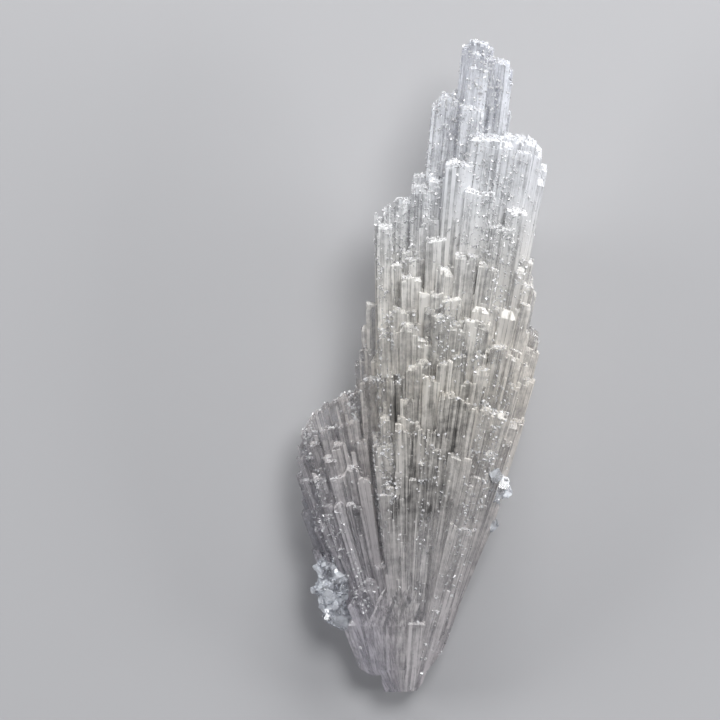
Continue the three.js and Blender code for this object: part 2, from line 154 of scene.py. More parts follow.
right_stair = [
    dict(x=10.35, y=9.4, rise=9.2, width=0.9, lean=11.4, slant=10),
    dict(x=10.55, y=7.7, rise=8.0, width=1.0, lean=12.0, slant=14),
    dict(x=9.7, y=6.2, rise=10.6, width=1.2, lean=11.8),
    dict(x=10.8, y=3.9, rise=8.4, width=1.1, lean=13.0, slant=30),
    dict(x=10.4, y=2.9, rise=6.6, width=1.5, depth=1.8, lean=13.4),
    dict(x=10.0, y=-1.0, rise=9.4, width=1.1, lean=14.4, slant=-8),
    dict(x=9.5, y=-3.1, rise=8.0, width=1.2, lean=14.8, slant=34),
    dict(x=9.0, y=-5.4, rise=6.4, width=1.3, lean=15.4),
    dict(x=8.5, y=-8.8, rise=8.4, width=1.3, lean=17.0, slant=20),
    dict(x=7.4, y=-9.6, rise=11.4, width=1.7, depth=1.5, lean=16.6),
    dict(x=6.8, y=-13.8, rise=9.4, width=1.5, lean=19.4),
    dict(x=5.3, y=-17.7, rise=8.0, width=1.4, lean=20.4),
    dict(x=2.9, y=-23.9, rise=9.0, width=1.2, lean=21.4),
]
front_ledges = [
    dict(x=4.2, y=10.9, rise=15.4, width=2.0, depth=1.4),
    dict(x=6.3, y=10.1, rise=15.0, width=1.9, depth=1.4, slant=6),
    dict(x=3.45, y=4.8, rise=16.7, width=1.3, depth=1.3),
    dict(x=4.6, y=4.9, rise=16.8, width=1.2, depth=1.3),
    dict(x=5.75, y=4.6, rise=16.6, width=1.3, depth=1.3, slant=8),
    dict(x=0.6, y=2.6, rise=16.4, width=1.9, depth=1.4, slant=-6),
    dict(x=-1.6, y=6.0, rise=14.5, width=2.0, depth=1.3, slant=4),
    dict(x=1.9, y=7.4, rise=15.3, width=2.0, depth=1.3, slant=-8),
    dict(x=-3.2, y=3.4, rise=13.9, width=1.4, depth=1.3),
    dict(x=8.0, y=1.8, rise=15.6, width=2.0, depth=1.4, slant=10),
    dict(x=4.4, y=-3.2, rise=18.2, width=1.7, depth=1.3),
    dict(x=5.9, y=-3.3, rise=17.9, width=1.6, depth=1.3),
    dict(x=7.4, y=-3.6, rise=17.0, width=1.6, depth=1.3, slant=6),
    dict(x=1.6, y=-5.6, rise=18.8, width=1.9, depth=1.2, slant=-4),
    dict(x=-1.2, y=-4.2, rise=17.9, width=2.0, depth=1.2, slant=6),
    dict(x=-3.6, y=-6.6, rise=16.9, width=1.8, depth=1.2, slant=-8),
    dict(x=-2.9, y=-11.5, rise=18.9, width=2.0, depth=1.2),
    dict(x=3.9, y=-14.6, rise=19.3, width=2.4, depth=1.2, slant=4),
    dict(x=-0.4, y=-24.0, rise=22.2, width=1.7, depth=0.6, slant=-8),
    dict(x=-6.2, y=-21.7, rise=16.6, width=1.9, depth=0.8, slant=-12),
]
# The groups, with how cloudy their crystals are, from 0, clear, to 1, milky, and how ragged their ends
groups = [
    (summit, 0.6, 0.25),
    (block, 0.95, 0.25),
    (shoulder, 0.8, 0.9),
    (left_stair, 0.45, 0.4),
    (left_fan, 0.45, 0.35),
    (right_stair, 0.5, 0.5),
    (front_ledges, 0.75, 0.5),
]
# Short ones that cover the root's left flank, below the groove
root_splints = [
    dict(x=-5.6, y=-20.7, rise=17.0, width=1.5, depth=1.0, slant=-10),
    dict(x=-4.7, y=-19.6, rise=17.4, width=1.5, depth=1.0, slant=4),
    dict(x=-3.7, y=-18.1, rise=17.8, width=1.7, depth=1.0, slant=-8),
    dict(x=-4.9, y=-22.4, rise=18.0, width=1.4, depth=0.8, slant=-6),
]

# How far the ordinary crystals reach from the fan centre, by bearing in degrees
reach_by_bearing = [
    (-26, 21), (-23, 26), (-20.8, 28), (-17.5, 30.5), (-14, 31.5), (-7, 32.5), (-6, 34), (-5, 36),
    (-3.8, 40), (-2.2, 46), (-1, 49), (2, 53), (6, 55), (12, 53.5), (14, 50), (15.5, 44), (17, 41.5),
    (18.5, 39), (20, 34), (21.2, 29), (22.2, 26), (23.2, 21), (24, 12), (27, 6),
]
# The layers of ordinary crystals from the back of the fan to its front: the climb of their lines,
# their bearings on the left and right, and how much of the reach they fill
layers = [
    (-3.6, -12, 9, 0.62), (-2.4, -15, 12, 0.74), (-0.6, -18, 16, 0.86), (1.4, -20, 19, 0.9),
    (3.4, -21.5, 21.5, 0.94), (5.4, -22.5, 23, 0.97), (7.4, -23, 24, 0.98), (9.2, -23, 23.8, 0.97),
    (10.8, -23, 23.4, 0.95), (12.2, -22, 22.8, 0.92), (13.4, -21, 22, 0.88), (14.6, -20.2, 21, 0.83),
    (15.6, -16, 20, 0.79), (16.6, -6, 19, 0.74), (17.5, -6, 17.5, 0.68), (18.3, -6, 16, 0.61),
    (19, -6, 14.5, 0.53),
]
groove = (-9, -5.9)  # bearings of the groove between the left fan and the other crystals
groove_floor = 10  # the climb up to which the groove is filled
groove_reach = 17  # how far the crystals in front of its floor reach
bearing_step = 2.0  # degrees between neighbours in a layer
layer_step = 1.5  # degrees between layers, about
widest = 1.9  # the most that an ordinary crystal measures across
back_layers = 3  # whose crystals show over their whole length
front_layers = 5  # and at the front
edge_steps = 1.5  # how near to its layer's edge a crystal shows so, in steps between neighbours
buried_share = 0.5  # share of an inner crystal's length over which its sides still show
# How the ordinary crystals differ, from the least to the most
spread = {
    "bearing": (-0.25, 0.25),  # in steps between neighbours
    "reach": (0.88, 1),  # in shares of their layer's reach
    "reach in the groove": (0.85, 1.1),  # in shares of groove_reach
    "rise": (-0.3, 0.3),
    "width": (1.05, 1.35),  # in steps between neighbours
    "depth": (1.5, 2.0),  # in steps between layers
    "turn": (-6, 6),
    "slant": (-9, 9),
    "milk": (0.5, 0.9),
    "ragged": (0.2, 0.7),
}
ordinary_seed = 7


def reach_at(bearing):
    for (a, near), (b, far) in zip(reach_by_bearing, reach_by_bearing[1:]):
        if bearing <= b:
            return near + (far - near) * (bearing - a) / (b - a)


def ordinary_crystals():
    numbers = random.Random(ordinary_seed)

    def drawn(name):
        return numbers.uniform(*spread[name])

    made = []
    for row, (rise, left, right, share) in enumerate(layers):
        inner = back_layers <= row < len(layers) - front_layers
        bearing = left + (bearing_step / 2 if row % 2 else 0)
        while bearing <= right:
            swing = min(bearing + drawn("bearing") * bearing_step, right)
            reach = reach_at(swing) * share * drawn("reach")
            edge = min(swing - left, right - swing) < edge_steps * bearing_step
            bearing += bearing_step
            if rise > groove_floor and groove[0] < swing < groove[1]:
                reach = groove_reach * drawn("reach in the groove")
            made.append(dict(
                x=fan_centre.x + reach * math.sin(math.radians(swing)),
                y=fan_centre.y + reach * math.cos(math.radians(swing)),
                rise=rise + drawn("rise"),
                width=min(widest, reach * math.radians(bearing_step) * drawn("width")),
                depth=min(widest, reach * math.radians(layer_step) * drawn("depth")),
                turn=drawn("turn"),
                slant=drawn("slant"),
                milk=drawn("milk"),
                ragged=drawn("ragged"),
                bare=buried_share if inner and not edge else 1.0,
            ))
    return made


class Wire:
    """A value in a node tree. Sums, differences, products and quotients of wires add the nodes that
    work them out: Math nodes for numbers, and Vector Math nodes where either side is a vector."""

    def __init__(self, bench, socket):
        self.bench = bench
        self.socket = socket

    def other(self, name):
        """Another output of the node that this wire comes from."""
        return Wire(self.bench, next(s for s in self.socket.node.outputs if s.enabled and s.name == name))

    def is_vector(self):
        return self.socket.type in ("VECTOR", "RGBA")

    def worked(self, operation, other, turned=False):
        pair = (other, self) if turned else (self, other)
        vectors = [v.is_vector() if isinstance(v, Wire) else isinstance(v, (Vector, tuple)) for v in pair]
        if not any(vectors):
            return self.bench.node("ShaderNodeMath", {"operation": operation}, {0: pair[0], 1: pair[1]})
        if operation == "MULTIPLY" and not all(vectors):
            vector, number = pair if vectors[0] else pair[::-1]
            return self.bench.node("ShaderNodeVectorMath", {"operation": "SCALE"}, {0: vector, 3: number})
        return self.bench.node("ShaderNodeVectorMath", {"operation": operation}, {0: pair[0], 1: pair[1]})

    def __add__(self, other):
        return self.worked("ADD", other)

    def __radd__(self, other):
        return self.worked("ADD", other, True)

    def __sub__(self, other):
        return self.worked("SUBTRACT", other)

    def __rsub__(self, other):
        return self.worked("SUBTRACT", other, True)

    def __mul__(self, other):
        return self.worked("MULTIPLY", other)

    def __rmul__(self, other):
        return self.worked("MULTIPLY", other, True)

    def __truediv__(self, other):
        return self.worked("DIVIDE", other)

    def __pow__(self, power):
        return self.worked("POWER", power)

    def math(self, operation, other=None):
        values = {0: self} if other is None else {0: self, 1: other}
        return self.bench.node("ShaderNodeMath", {"operation": operation}, values)

    def vector(self, operation, other=None):
        values = {0: self} if other is None else {0: self, 1: other}
        return self.bench.node("ShaderNodeVectorMath", {"operation": operation}, values)

    def parts(self):
        """The X of this vector, whose Y and Z are its others."""
        return self.bench.node("ShaderNodeSeparateXYZ", {}, {0: self})

    def held(self, low=0.0, high=1.0, start=0.0, end=1.0):
        """This value taken from low..high to start..end, and held at those ends."""
        values = {"Value": self, "From Min": low, "From Max": high, "To Min": start, "To Max": end}
        return self.bench.node("ShaderNodeMapRange", {"clamp": True}, values)


class Bench:
    """Where the nodes of one tree are put together."""

    def __init__(self, tree):
        self.tree = tree

    def node(self, kind, settings=None, values=None):
        """Adds a node of that kind, its settings first and then its sockets' values or wires, by name
        or place, and gives the wire of its first output in use."""
        made = self.tree.nodes.new(kind)
        for name, value in (settings or {}).items():
            if name == "stops":
                ramp = made.color_ramp.elements
                while len(ramp) < len(value):
                    ramp.new(1.0)
                for element, (place, colour) in zip(ramp, value):
                    element.position = place
                    element.color = (*colour, 1)
            else:
                setattr(made, name, value)
        for name, value in (values or {}).items():
            if isinstance(name, int):
                socket = made.inputs[name]
            else:
                socket = next(s for s in made.inputs if s.enabled and s.name == name)
            for one in value if isinstance(value, list) else [value]:
                if isinstance(one, Wire):
                    self.tree.links.new(one.socket, socket)
                else:
                    socket.default_value = one
        return Wire(self, next(s for s in made.outputs if s.enabled)) if made.outputs else None

    def vector(self, x, y, z):
        return self.node("ShaderNodeCombineXYZ", {}, {"X": x, "Y": y, "Z": z})

    def attribute(self, name, data_type="FLOAT"):
        return self.node("GeometryNodeInputNamedAttribute", {"data_type": data_type}, {"Name": name})

    def store(self, geometry, name, value, domain="POINT"):
        settings = {"data_type": "FLOAT_VECTOR" if value.is_vector() else "FLOAT", "domain": domain}
        values = {"Geometry": geometry, "Name": name, "Value": value}
        return self.node("GeometryNodeStoreNamedAttribute", settings, values)

    def chance(self, low, high, seed, identity):
        data_type = "FLOAT_VECTOR" if isinstance(low, tuple) else "FLOAT"
        values = {"Min": low, "Max": high, "Seed": seed, "ID": identity}
        return self.node("FunctionNodeRandomValue", {"data_type": data_type}, values)

    def object_shape(self, given):
        return self.node("GeometryNodeObjectInfo", {}, {"Object": given}).other("Geometry")

    def split_apart(self, geometry):
        """Each closed body of a mesh as an instance of its own, which is how a union takes them."""
        islands = self.node("GeometryNodeInputMeshIsland")
        values = {"Geometry": geometry, "Group ID": islands}
        return self.node("GeometryNodeSplitToInstances", {"domain": "FACE"}, values)

    def boolean(self, operation, bodies):
        settings = {"operation": operation, "solver": "MANIFOLD"}
        return self.node("GeometryNodeMeshBoolean", settings, {1: bodies})

    def finish(self, geometry, material):
        done = self.node("GeometryNodeSetMaterial", {}, {"Geometry": geometry, "Material": material})
        self.node("NodeGroupOutput", {}, {"Geometry": done})
        return self.tree


def new_object(name, data):
    made = bpy.data.objects.new(name, data)
    bpy.context.scene.collection.objects.link(made)
    return made


def clear_away(helpers):
    for helper in helpers.values():
        bpy.data.objects.remove(helper)


def new_material(name):
    material = bpy.data.materials.new(name)
    material.use_nodes = True
    return material


def grown(name, tree, start_mesh, inputs, kept_attributes=()):
    """The plain mesh that a tree of geometry nodes makes of a starting mesh, with the tree's named
    inputs set to the values given."""
    piece = new_object(name, start_mesh)
    modifier = piece.modifiers.new("growth", "NODES")
    modifier.node_group = tree
    for item in tree.interface.items_tree:
        if item.name in inputs:
            modifier[item.identifier] = inputs[item.name]
    ready = piece.evaluated_get(bpy.context.evaluated_depsgraph_get())
    mesh = bpy.data.meshes.new_from_object(ready)
    piece.modifiers.remove(modifier)
    piece.data = mesh
    mesh.name = name
    needed = {"position", "sharp_face", "material_index", *kept_attributes}
    for spare in [a.name for a in mesh.attributes if not a.name.startswith(".") and a.name not in needed]:
        mesh.attributes.remove(mesh.attributes[spare])
    return piece


def new_growth(name, inputs):
    """A tree of geometry nodes with a geometry socket at each end and the named inputs given, as the
    bench it is put together on and the wires of its inputs."""
    tree = bpy.data.node_groups.new(name, "GeometryNodeTree")
    tree.interface.new_socket("Geometry", in_out="INPUT", socket_type="NodeSocketGeometry")
    for label, kind in inputs.items():
        tree.interface.new_socket(label, in_out="INPUT", socket_type="NodeSocket" + kind)
    tree.interface.new_socket("Geometry", in_out="OUTPUT", socket_type="NodeSocketGeometry")
    bench = Bench(tree)
    first = bench.node("NodeGroupInput")
    return bench, {label: first.other(label) for label in ["Geometry", *inputs]}


def ringed_mesh(name, rings, ring_values=None):
    """A closed mesh over rings of corners, all with the same number, with a face at either end.
    ring_values gives a value for each ring to each corner attribute that it names."""
    shape = bmesh.new()
    columns = {key: shape.verts.layers.float.new(key) for key in ring_values or {}}
    loops = []
    for i, ring in enumerate(rings):
        loop = [shape.verts.new(corner) for corner in ring]
        for key, column in columns.items():
            for corner in loop:
                corner[column] = ring_values[key][i]
        loops.append(loop)
    for low, high in zip(loops, loops[1:]):
        for i in range(len(low)):
            j = (i + 1) % len(low)
            shape.faces.new((low[i], low[j], high[j], high[i]))
    shape.faces.new(loops[-1])
    shape.faces.new(loops[0][::-1])
    mesh = bpy.data.meshes.new(name)
    shape.to_mesh(mesh)
    shape.free()
    return mesh


# Each crystal is a bundle of one, four or nine rods
most_rows = 3.0
rod_pitch = 0.95  # in shares of the side that a rod has to itself
rod_shift = 0.03  # how far a rod stands off its place, in shares of the crystal's side
rod_thickness = (0.92, 1.06)  # in shares of the side that it has to itself
# Slats stand round its four sides, partly sunk into them
slat_row = 0.92  # share of a side that they stand over
slat_widths = (0.55, 1.4)  # in shares of Slat Width
slat_depth = 1.2  # in shares of its width
slat_stands = (-0.3, 1.0)  # in shares of Stand Proud
slat_ragged = 1.4  # how much farther down slats end than rods
short_slats = 0.3  # share of the slats that end low down
short_drop = 0.4  # the most that they end down, in shares of the crystal's length
long_slats = 0.08  # share of the slats that end beyond the crystal
long_rise = (0.1, 0.6)  # how far beyond, in shares of how ragged the crystal is
# Each rod and slat ends in a face that slopes, with bevels round it
end_ragged = 2.0  # the power that makes low ends rarer than high ones
slope_across = 0.16  # the most that the end face falls to either side
slope_through = (-0.12, 0.3)  # and its fall to the front
bevel_length = (0.05, 0.3)  # in shares of its thickness
end_width = (0.45, 0.95)  # what the bevels leave of its width
foot_share = 0.5  # share of its width that a crystal has at its lower end
fibre_shift = (0.05, 0.03, 0.1)  # the most that the streaks are moved on one prism, in metres


def prism_growth():
    """Grows the bundle of finer prisms that each crystal is, and joins them all in one body. Each starts
    flat, as its three rings of corners in one place, and its foot and its end facets are drawn out."""
    bench, given = new_growth("prism growth", {
        "Prism": "Object", "Root": "Object", "Kept Space": "Object", "Rod Width": "Float",
        "Slat Spacing": "Float", "Slat Width": "Float", "Stand Proud": "Float", "Seed": "Int",
        "Material": "Material",
    })
    across, along = (bench.attribute(name, "FLOAT_VECTOR") for name in ("across", "along"))
    through = across.vector("CROSS_PRODUCT", along)
    width, depth, long = (bench.attribute(name) for name in ("width", "depth", "length"))
    fall, ragged = (bench.attribute(name) for name in ("fall", "ragged"))
    index = bench.node("GeometryNodeInputIndex")
    here = bench.node("GeometryNodeInputPosition")
    prism = bench.object_shape(given["Prism"])

    def draw(low, high, number):
        return bench.chance(low, high, given["Seed"] + float(number), index)

    def copies(count):
        values = {"Geometry": given["Geometry"], "Amount": count}
        many = bench.node("GeometryNodeDuplicateElements", {}, values)
        return many, many.other("Duplicate Index")

    def stood_up(many, u, v, sides, drop, face, down_to, seed):
        """One prism at each point, u and v off its crystal's line and its end lowered by drop. Its foot
        is that far down."""
        aside = across * u + through * v
        end = here - along * drop + aside * (1.0 - drop / long * (1.0 - foot_share))
        narrow = 1.0 - down_to / long * (1.0 - foot_share)
        line = end - (here - along * down_to + aside * narrow)
        slope = across * (fall + draw(-slope_across, slope_across, seed + 1))
        slope = slope + through * draw(*slope_through, seed + 2)
        facet = sides.vector("LENGTH") * draw(*bevel_length, seed + 3)
        points = many
        for name, value in (
            ("line", line), ("face", face), ("end", end), ("sides", sides), ("slope", slope),
            ("facet", facet), ("crown", draw(*end_width, seed + 4)), ("shade", draw(0.0, 1.0, seed + 5)),
            ("narrow", narrow),
        ):
            points = bench.store(points, name, value)
        line, face, end, sides, slope = (
            bench.attribute(name, "FLOAT_VECTOR") for name in ("line", "face", "end", "sides", "slope")
        )
        points = bench.node("GeometryNodeSetPosition", {}, {"Geometry": points, "Position": end})
        axes = {"Primary Axis": line, "Secondary Axis": face}
        turned = bench.node("FunctionNodeAxesToRotation", {}, axes)
        placed = bench.node("GeometryNodeInstanceOnPoints", {}, {
            "Points": points, "Instance": prism, "Rotation": turned, "Scale": sides,
        })
        solid = bench.node("GeometryNodeRealizeInstances", {}, {"Geometry": placed})
        at_foot, at_end = bench.attribute("at foot"), bench.attribute("at end")
        aside = here - end
        inward = at_foot * (bench.attribute("narrow") - 1.0) + at_end * (bench.attribute("crown") - 1.0)
        lower = (1.0 - at_foot) * aside.vector("DOT_PRODUCT", slope)
        lower = lower + (1.0 - at_foot - at_end) * bench.attribute("facet")
        return bench.node("GeometryNodeSetPosition", {}, {
            "Geometry": solid,
            "Offset": aside * inward - line * at_foot - line.vector("NORMALIZE") * lower,
        })

    # Rods side by side, one in a thin crystal and nine in a thick one
    rows = (width / given["Rod Width"]).math("ROUND").held(1.0, most_rows, 1.0, most_rows)
    rods, number = copies(rows * rows)
    column = number.math("MODULO", rows) - (rows - 1.0) * 0.5
    row = (number / rows).math("FLOOR") - (rows - 1.0) * 0.5
    u = width * (column * rod_pitch / rows + draw(-rod_shift, rod_shift, 1))
    v = depth * (row * rod_pitch / rows + draw(-rod_shift, rod_shift, 2))
    sides = bench.vector(
        width * draw(*rod_thickness, 3) / rows, depth * draw(*rod_thickness, 4) / rows, 0.0
    )
    drop = draw(0.0, 1.0, 5) ** end_ragged * ragged + fall * u
    rods = stood_up(rods, u, v, sides, drop, across, long, 10)

    # Slats set round the four sides of each crystal, some of them ending low down
    slats, number = copies((width + depth) * 2.0 / given["Slat Spacing"])
    round_it = (number + draw(0.0, 1.0, 21)) * given["Slat Spacing"] / (width + depth) * 2.0
    side = round_it.math("FLOOR")
    place = (round_it - side - 0.5) * slat_row
    angle = side * (math.pi / 2)
    cosine, sine = angle.math("COSINE"), angle.math("SINE")
    even, odd = cosine.math("ABSOLUTE"), sine.math("ABSOLUTE")
    slim = given["Slat Width"] * draw(*slat_widths, 22)
    out = (even * width + odd * depth) * 0.5 + given["Stand Proud"] * draw(*slat_stands, 23) - slim * 0.5
    beside = (odd * width + even * depth) * place
    u = cosine * out - sine * beside
    v = sine * out + cosine * beside
    low = draw(0.0, 1.0, 24).math("GREATER_THAN", 1 - short_slats)
    high = draw(0.0, 1.0, 25).math("GREATER_THAN", 1 - long_slats)
    drop = draw(0.0, 1.0, 26) ** end_ragged * ragged * slat_ragged
    drop = drop + low * draw(0.0, short_drop, 27) * long + fall * u
    drop = drop - high * ragged * draw(*long_rise, 28)
    sides = bench.vector(slim, slim * slat_depth, 0.0)
    outward = across * cosine + through * sine
    slats = stood_up(slats, u, v, sides, drop, outward, long * bench.attribute("bare"), 30)

    both = bench.node("GeometryNodeJoinGeometry", {}, {"Geometry": [rods, slats]})
    solid = bench.node("GeometryNodeRealizeInstances", {}, {"Geometry": both})
    for name in ("end", "across", "along"):
        solid = bench.store(solid, name, bench.attribute(name, "FLOAT_VECTOR"), "FACE")
    for name in ("shade", "milk"):
        solid = bench.store(solid, name, bench.attribute(name), "FACE")

    # Joined into one body and broken off at the root
    joined = bench.boolean("UNION", [bench.split_apart(solid), bench.object_shape(given["Root"])])
    body = bench.boolean("INTERSECT", [joined, bench.object_shape(given["Kept Space"])])

    # Where each face lies on its own prism, for the streaks along it
    through = across.vector("CROSS_PRODUCT", along)
    off = here - bench.attribute("end", "FLOAT_VECTOR")
    shade = bench.attribute("shade")
    fibre = bench.vector(*(off.vector("DOT_PRODUCT", axis) for axis in (across, through, along)))
    fibre = fibre + bench.vector(*(shade * shift for shift in fibre_shift))
    body = bench.store(body, "fibre", fibre, "CORNER")
    return bench.finish(body, given["Material"])


def mark(mesh, domain, name, values):
    """Gives every point or face of a mesh its value of the attribute named."""
    if isinstance(values[0], Vector):
        layer = mesh.attributes.new(name, "FLOAT_VECTOR", domain)
        layer.data.foreach_set("vector", [number for vector in values for number in vector])
    else:
        mesh.attributes.new(name, "FLOAT", domain).data.foreach_set("value", values)


def crystal_points(name, crystals):
    """A mesh of one point for each crystal, which carries the crystal's sizes as attributes."""
    mesh = bpy.data.meshes.new(name)
    mesh.from_pydata([c["tip"] for c in crystals], [], [])
    for key in crystals[0]:
        if key != "tip":
            mark(mesh, "POINT", key, [c[key] for c in crystals])
    return mesh


# The cone that the crystals stand out of: at each height its left and right limits, its lowest and
# highest Z, and the share of its half width that its deepest groove takes
root_stations = [
    (-31, -3.6, -0.2, 0.5, 3.5, 0.008),
    (-28.8, -6.0, 0.9, 0.2, 4.6, 0.012),
    (-24.5, -7.6, 3.0, 0.1, 6.2, 0.02),
    (-21.5, -6.4, 4.1, 0.3, 7.0, 0.025),
    (-18.5, -4.8, 5.2, 0.5, 7.8, 0.03),
    (-15, -3.2, 5.5, 0.8, 8.7, 0.035),
    (-5, -3.4, 6.4, 1.8, 10.9, 0.05),
    (3, -2.4, 7.0, 3.2, 12.0, 0.05),
    (9, -1.4, 7.2, 5, 11.8, 0.05),
]
root_flutes = 110
root_roundness = 2.4  # 2 gives an ellipse across, and more gives fuller corners
root_milk = 0.5
root_seed = 5


def root_mesh():
    numbers = random.Random(root_seed)
    grooves = [numbers.random() for flute in range(root_flutes)]
    rings = []
    for y, left, right, low, high, deepest in root_stations:
        ring = []
        for flute, groove_depth in enumerate(grooves):
            angle = 2 * math.pi * flute / root_flutes
            u, v = math.cos(angle), math.sin(angle)
            stretch = (abs(u) ** root_roundness + abs(v) ** root_roundness) ** (-1 / root_roundness)
            stretch *= 1 - deepest * groove_depth
            ring.append(Vector((
                (left + right) / 2 + (right - left) / 2 * u * stretch,
                y,
                (low + high) / 2 + (high - low) / 2 * v * stretch,
            )) * mm)
        rings.append(ring[::-1])
    mesh = ringed_mesh("root", rings)
    centre = fan_centre * mm
    lines = [(face.center - centre).normalized() for face in mesh.polygons]
    sideways = [line.cross(face.normal).normalized() for line, face in zip(lines, mesh.polygons)]
    shades = [numbers.random() for flute in range(root_flutes)]
    mark(mesh, "FACE", "end", [centre] * len(lines))
    mark(mesh, "FACE", "along", lines)
    mark(mesh, "FACE", "across", sideways)
    mark(mesh, "FACE", "shade", [shades[i % root_flutes] for i in range(len(lines))])
    mark(mesh, "FACE", "milk", [root_milk] * len(lines))
    return mesh


# The outline that the break at the root leaves, from the front, its last two corners first
break_outline = [
    (14, 40), (-14, 40), (-14, -8), (-9.4, -20), (-7.6, -24.5), (-5.8, -28.7), (-5.2, -29.1),
    (-4.4, -29.4), (-3.75, -29.3), (-3.6, -30.2), (-3.4, -31), (-2.4, -31.05), (-1.3, -31), (-0.4, -30.9),
    (0.3, -30), (0.7, -28.9), (1.5, -27.9), (2.3, -26.6), (3.9, -22), (7, -14.5), (14, 10),
]
break_levels = [0, 0.5, 1.1, 1.6, 2.1, 2.7, 3.2, 3.8, 4.4, 5.2, 6.5, 8, 40]
break_top = -24  # the Y below which it is rough
break_roughness = 0.09
break_seed = 9


def kept_space_mesh():
    """The space that the break leaves to the spray, from its top down."""
    numbers = random.Random(break_seed)
    rings = []
    for level in break_levels:
        ring = []
        for x, y in break_outline:
            if y < break_top:
                x += numbers.uniform(-1, 1) * break_roughness
                y += numbers.uniform(0, 1) * break_roughness
            ring.append(Vector((x, y, level)) * mm)
        rings.insert(0, ring[::-1])
    return ringed_mesh("kept space", rings)


crystals = []
for group, milk, ragged in groups:
    crystals += [crystal(milk=milk, ragged=ragged, **values) for values in group]
crystals += [crystal(**values) for values in ordinary_crystals() + root_splints]
square = [(0.5, -0.5, 0), (0.5, 0.5, 0), (-0.5, 0.5, 0), (-0.5, -0.5, 0)]
prism_rings = {"at foot": (1.0, 0.0, 0.0), "at end": (0.0, 0.0, 1.0)}
helpers = {
    "Prism": new_object("prism", ringed_mesh("prism", [square] * 3, prism_rings)),
    "Root": new_object("root", root_mesh()),
    "Kept Space": new_object("kept space", kept_space_mesh()),
}
scolecite = new_material("scolecite")
spray = grown("slender_prisms", prism_growth(), crystal_points("crystal tips", crystals), {
    **helpers,
    "Rod Width": 1.2 * mm,
    "Slat Spacing": 0.5 * mm,
    "Slat Width": 0.27 * mm,
    "Stand Proud": 0.1 * mm,
    "Seed": 3,
    "Material": scolecite,
}, ("fibre", "shade", "milk"))
clear_away(helpers)
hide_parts("scolecite_spray")
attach(spray, "root")

scolecite_ior = 1.51
# The grain of the streaks across, through and along a prism, and of the veils and the frost, a metre
line_grain = (9000.0, 9000.0, 160.0)
band_grain = (2600.0, 2600.0, 110.0)
veil_grain = 420.0
frost_grain = 1700.0
# Colours from the root to the tips, by the share of the longest reach. They are partly the crystal's own
# tint, warm in the middle and cool at the tips, and partly painted light and shade: darker at the root,
# where the light fell dim, and lighter towards the tips, where it fell bright
longest_reach = 65.0 * mm
reach_colours_and_shading = [
    (0.0, (0.74, 0.7, 0.72)), (0.3, (0.77, 0.74, 0.72)), (0.5, (0.9, 0.86, 0.79)),
    (0.66, (0.93, 0.91, 0.87)), (0.78, (0.96, 0.97, 0.99)), (1.0, (0.9, 0.92, 0.98)),
]
# Tints from the left edge of the fan to the right, over this bearing to either side, in radians. They are
# partly the crystal's own grey-mauve tint and partly painted shade, darker at the left edge and a little
# darker at the right, where the light fell dimmer
widest_bearing = 0.4
flank_tints_and_shading = [
    (0.0, (0.72, 0.72, 0.78)), (0.3, (0.8, 0.79, 0.82)), (0.42, (1, 1, 1)), (0.68, (1, 1, 1)),
    (1.0, (0.86, 0.85, 0.86)),
]


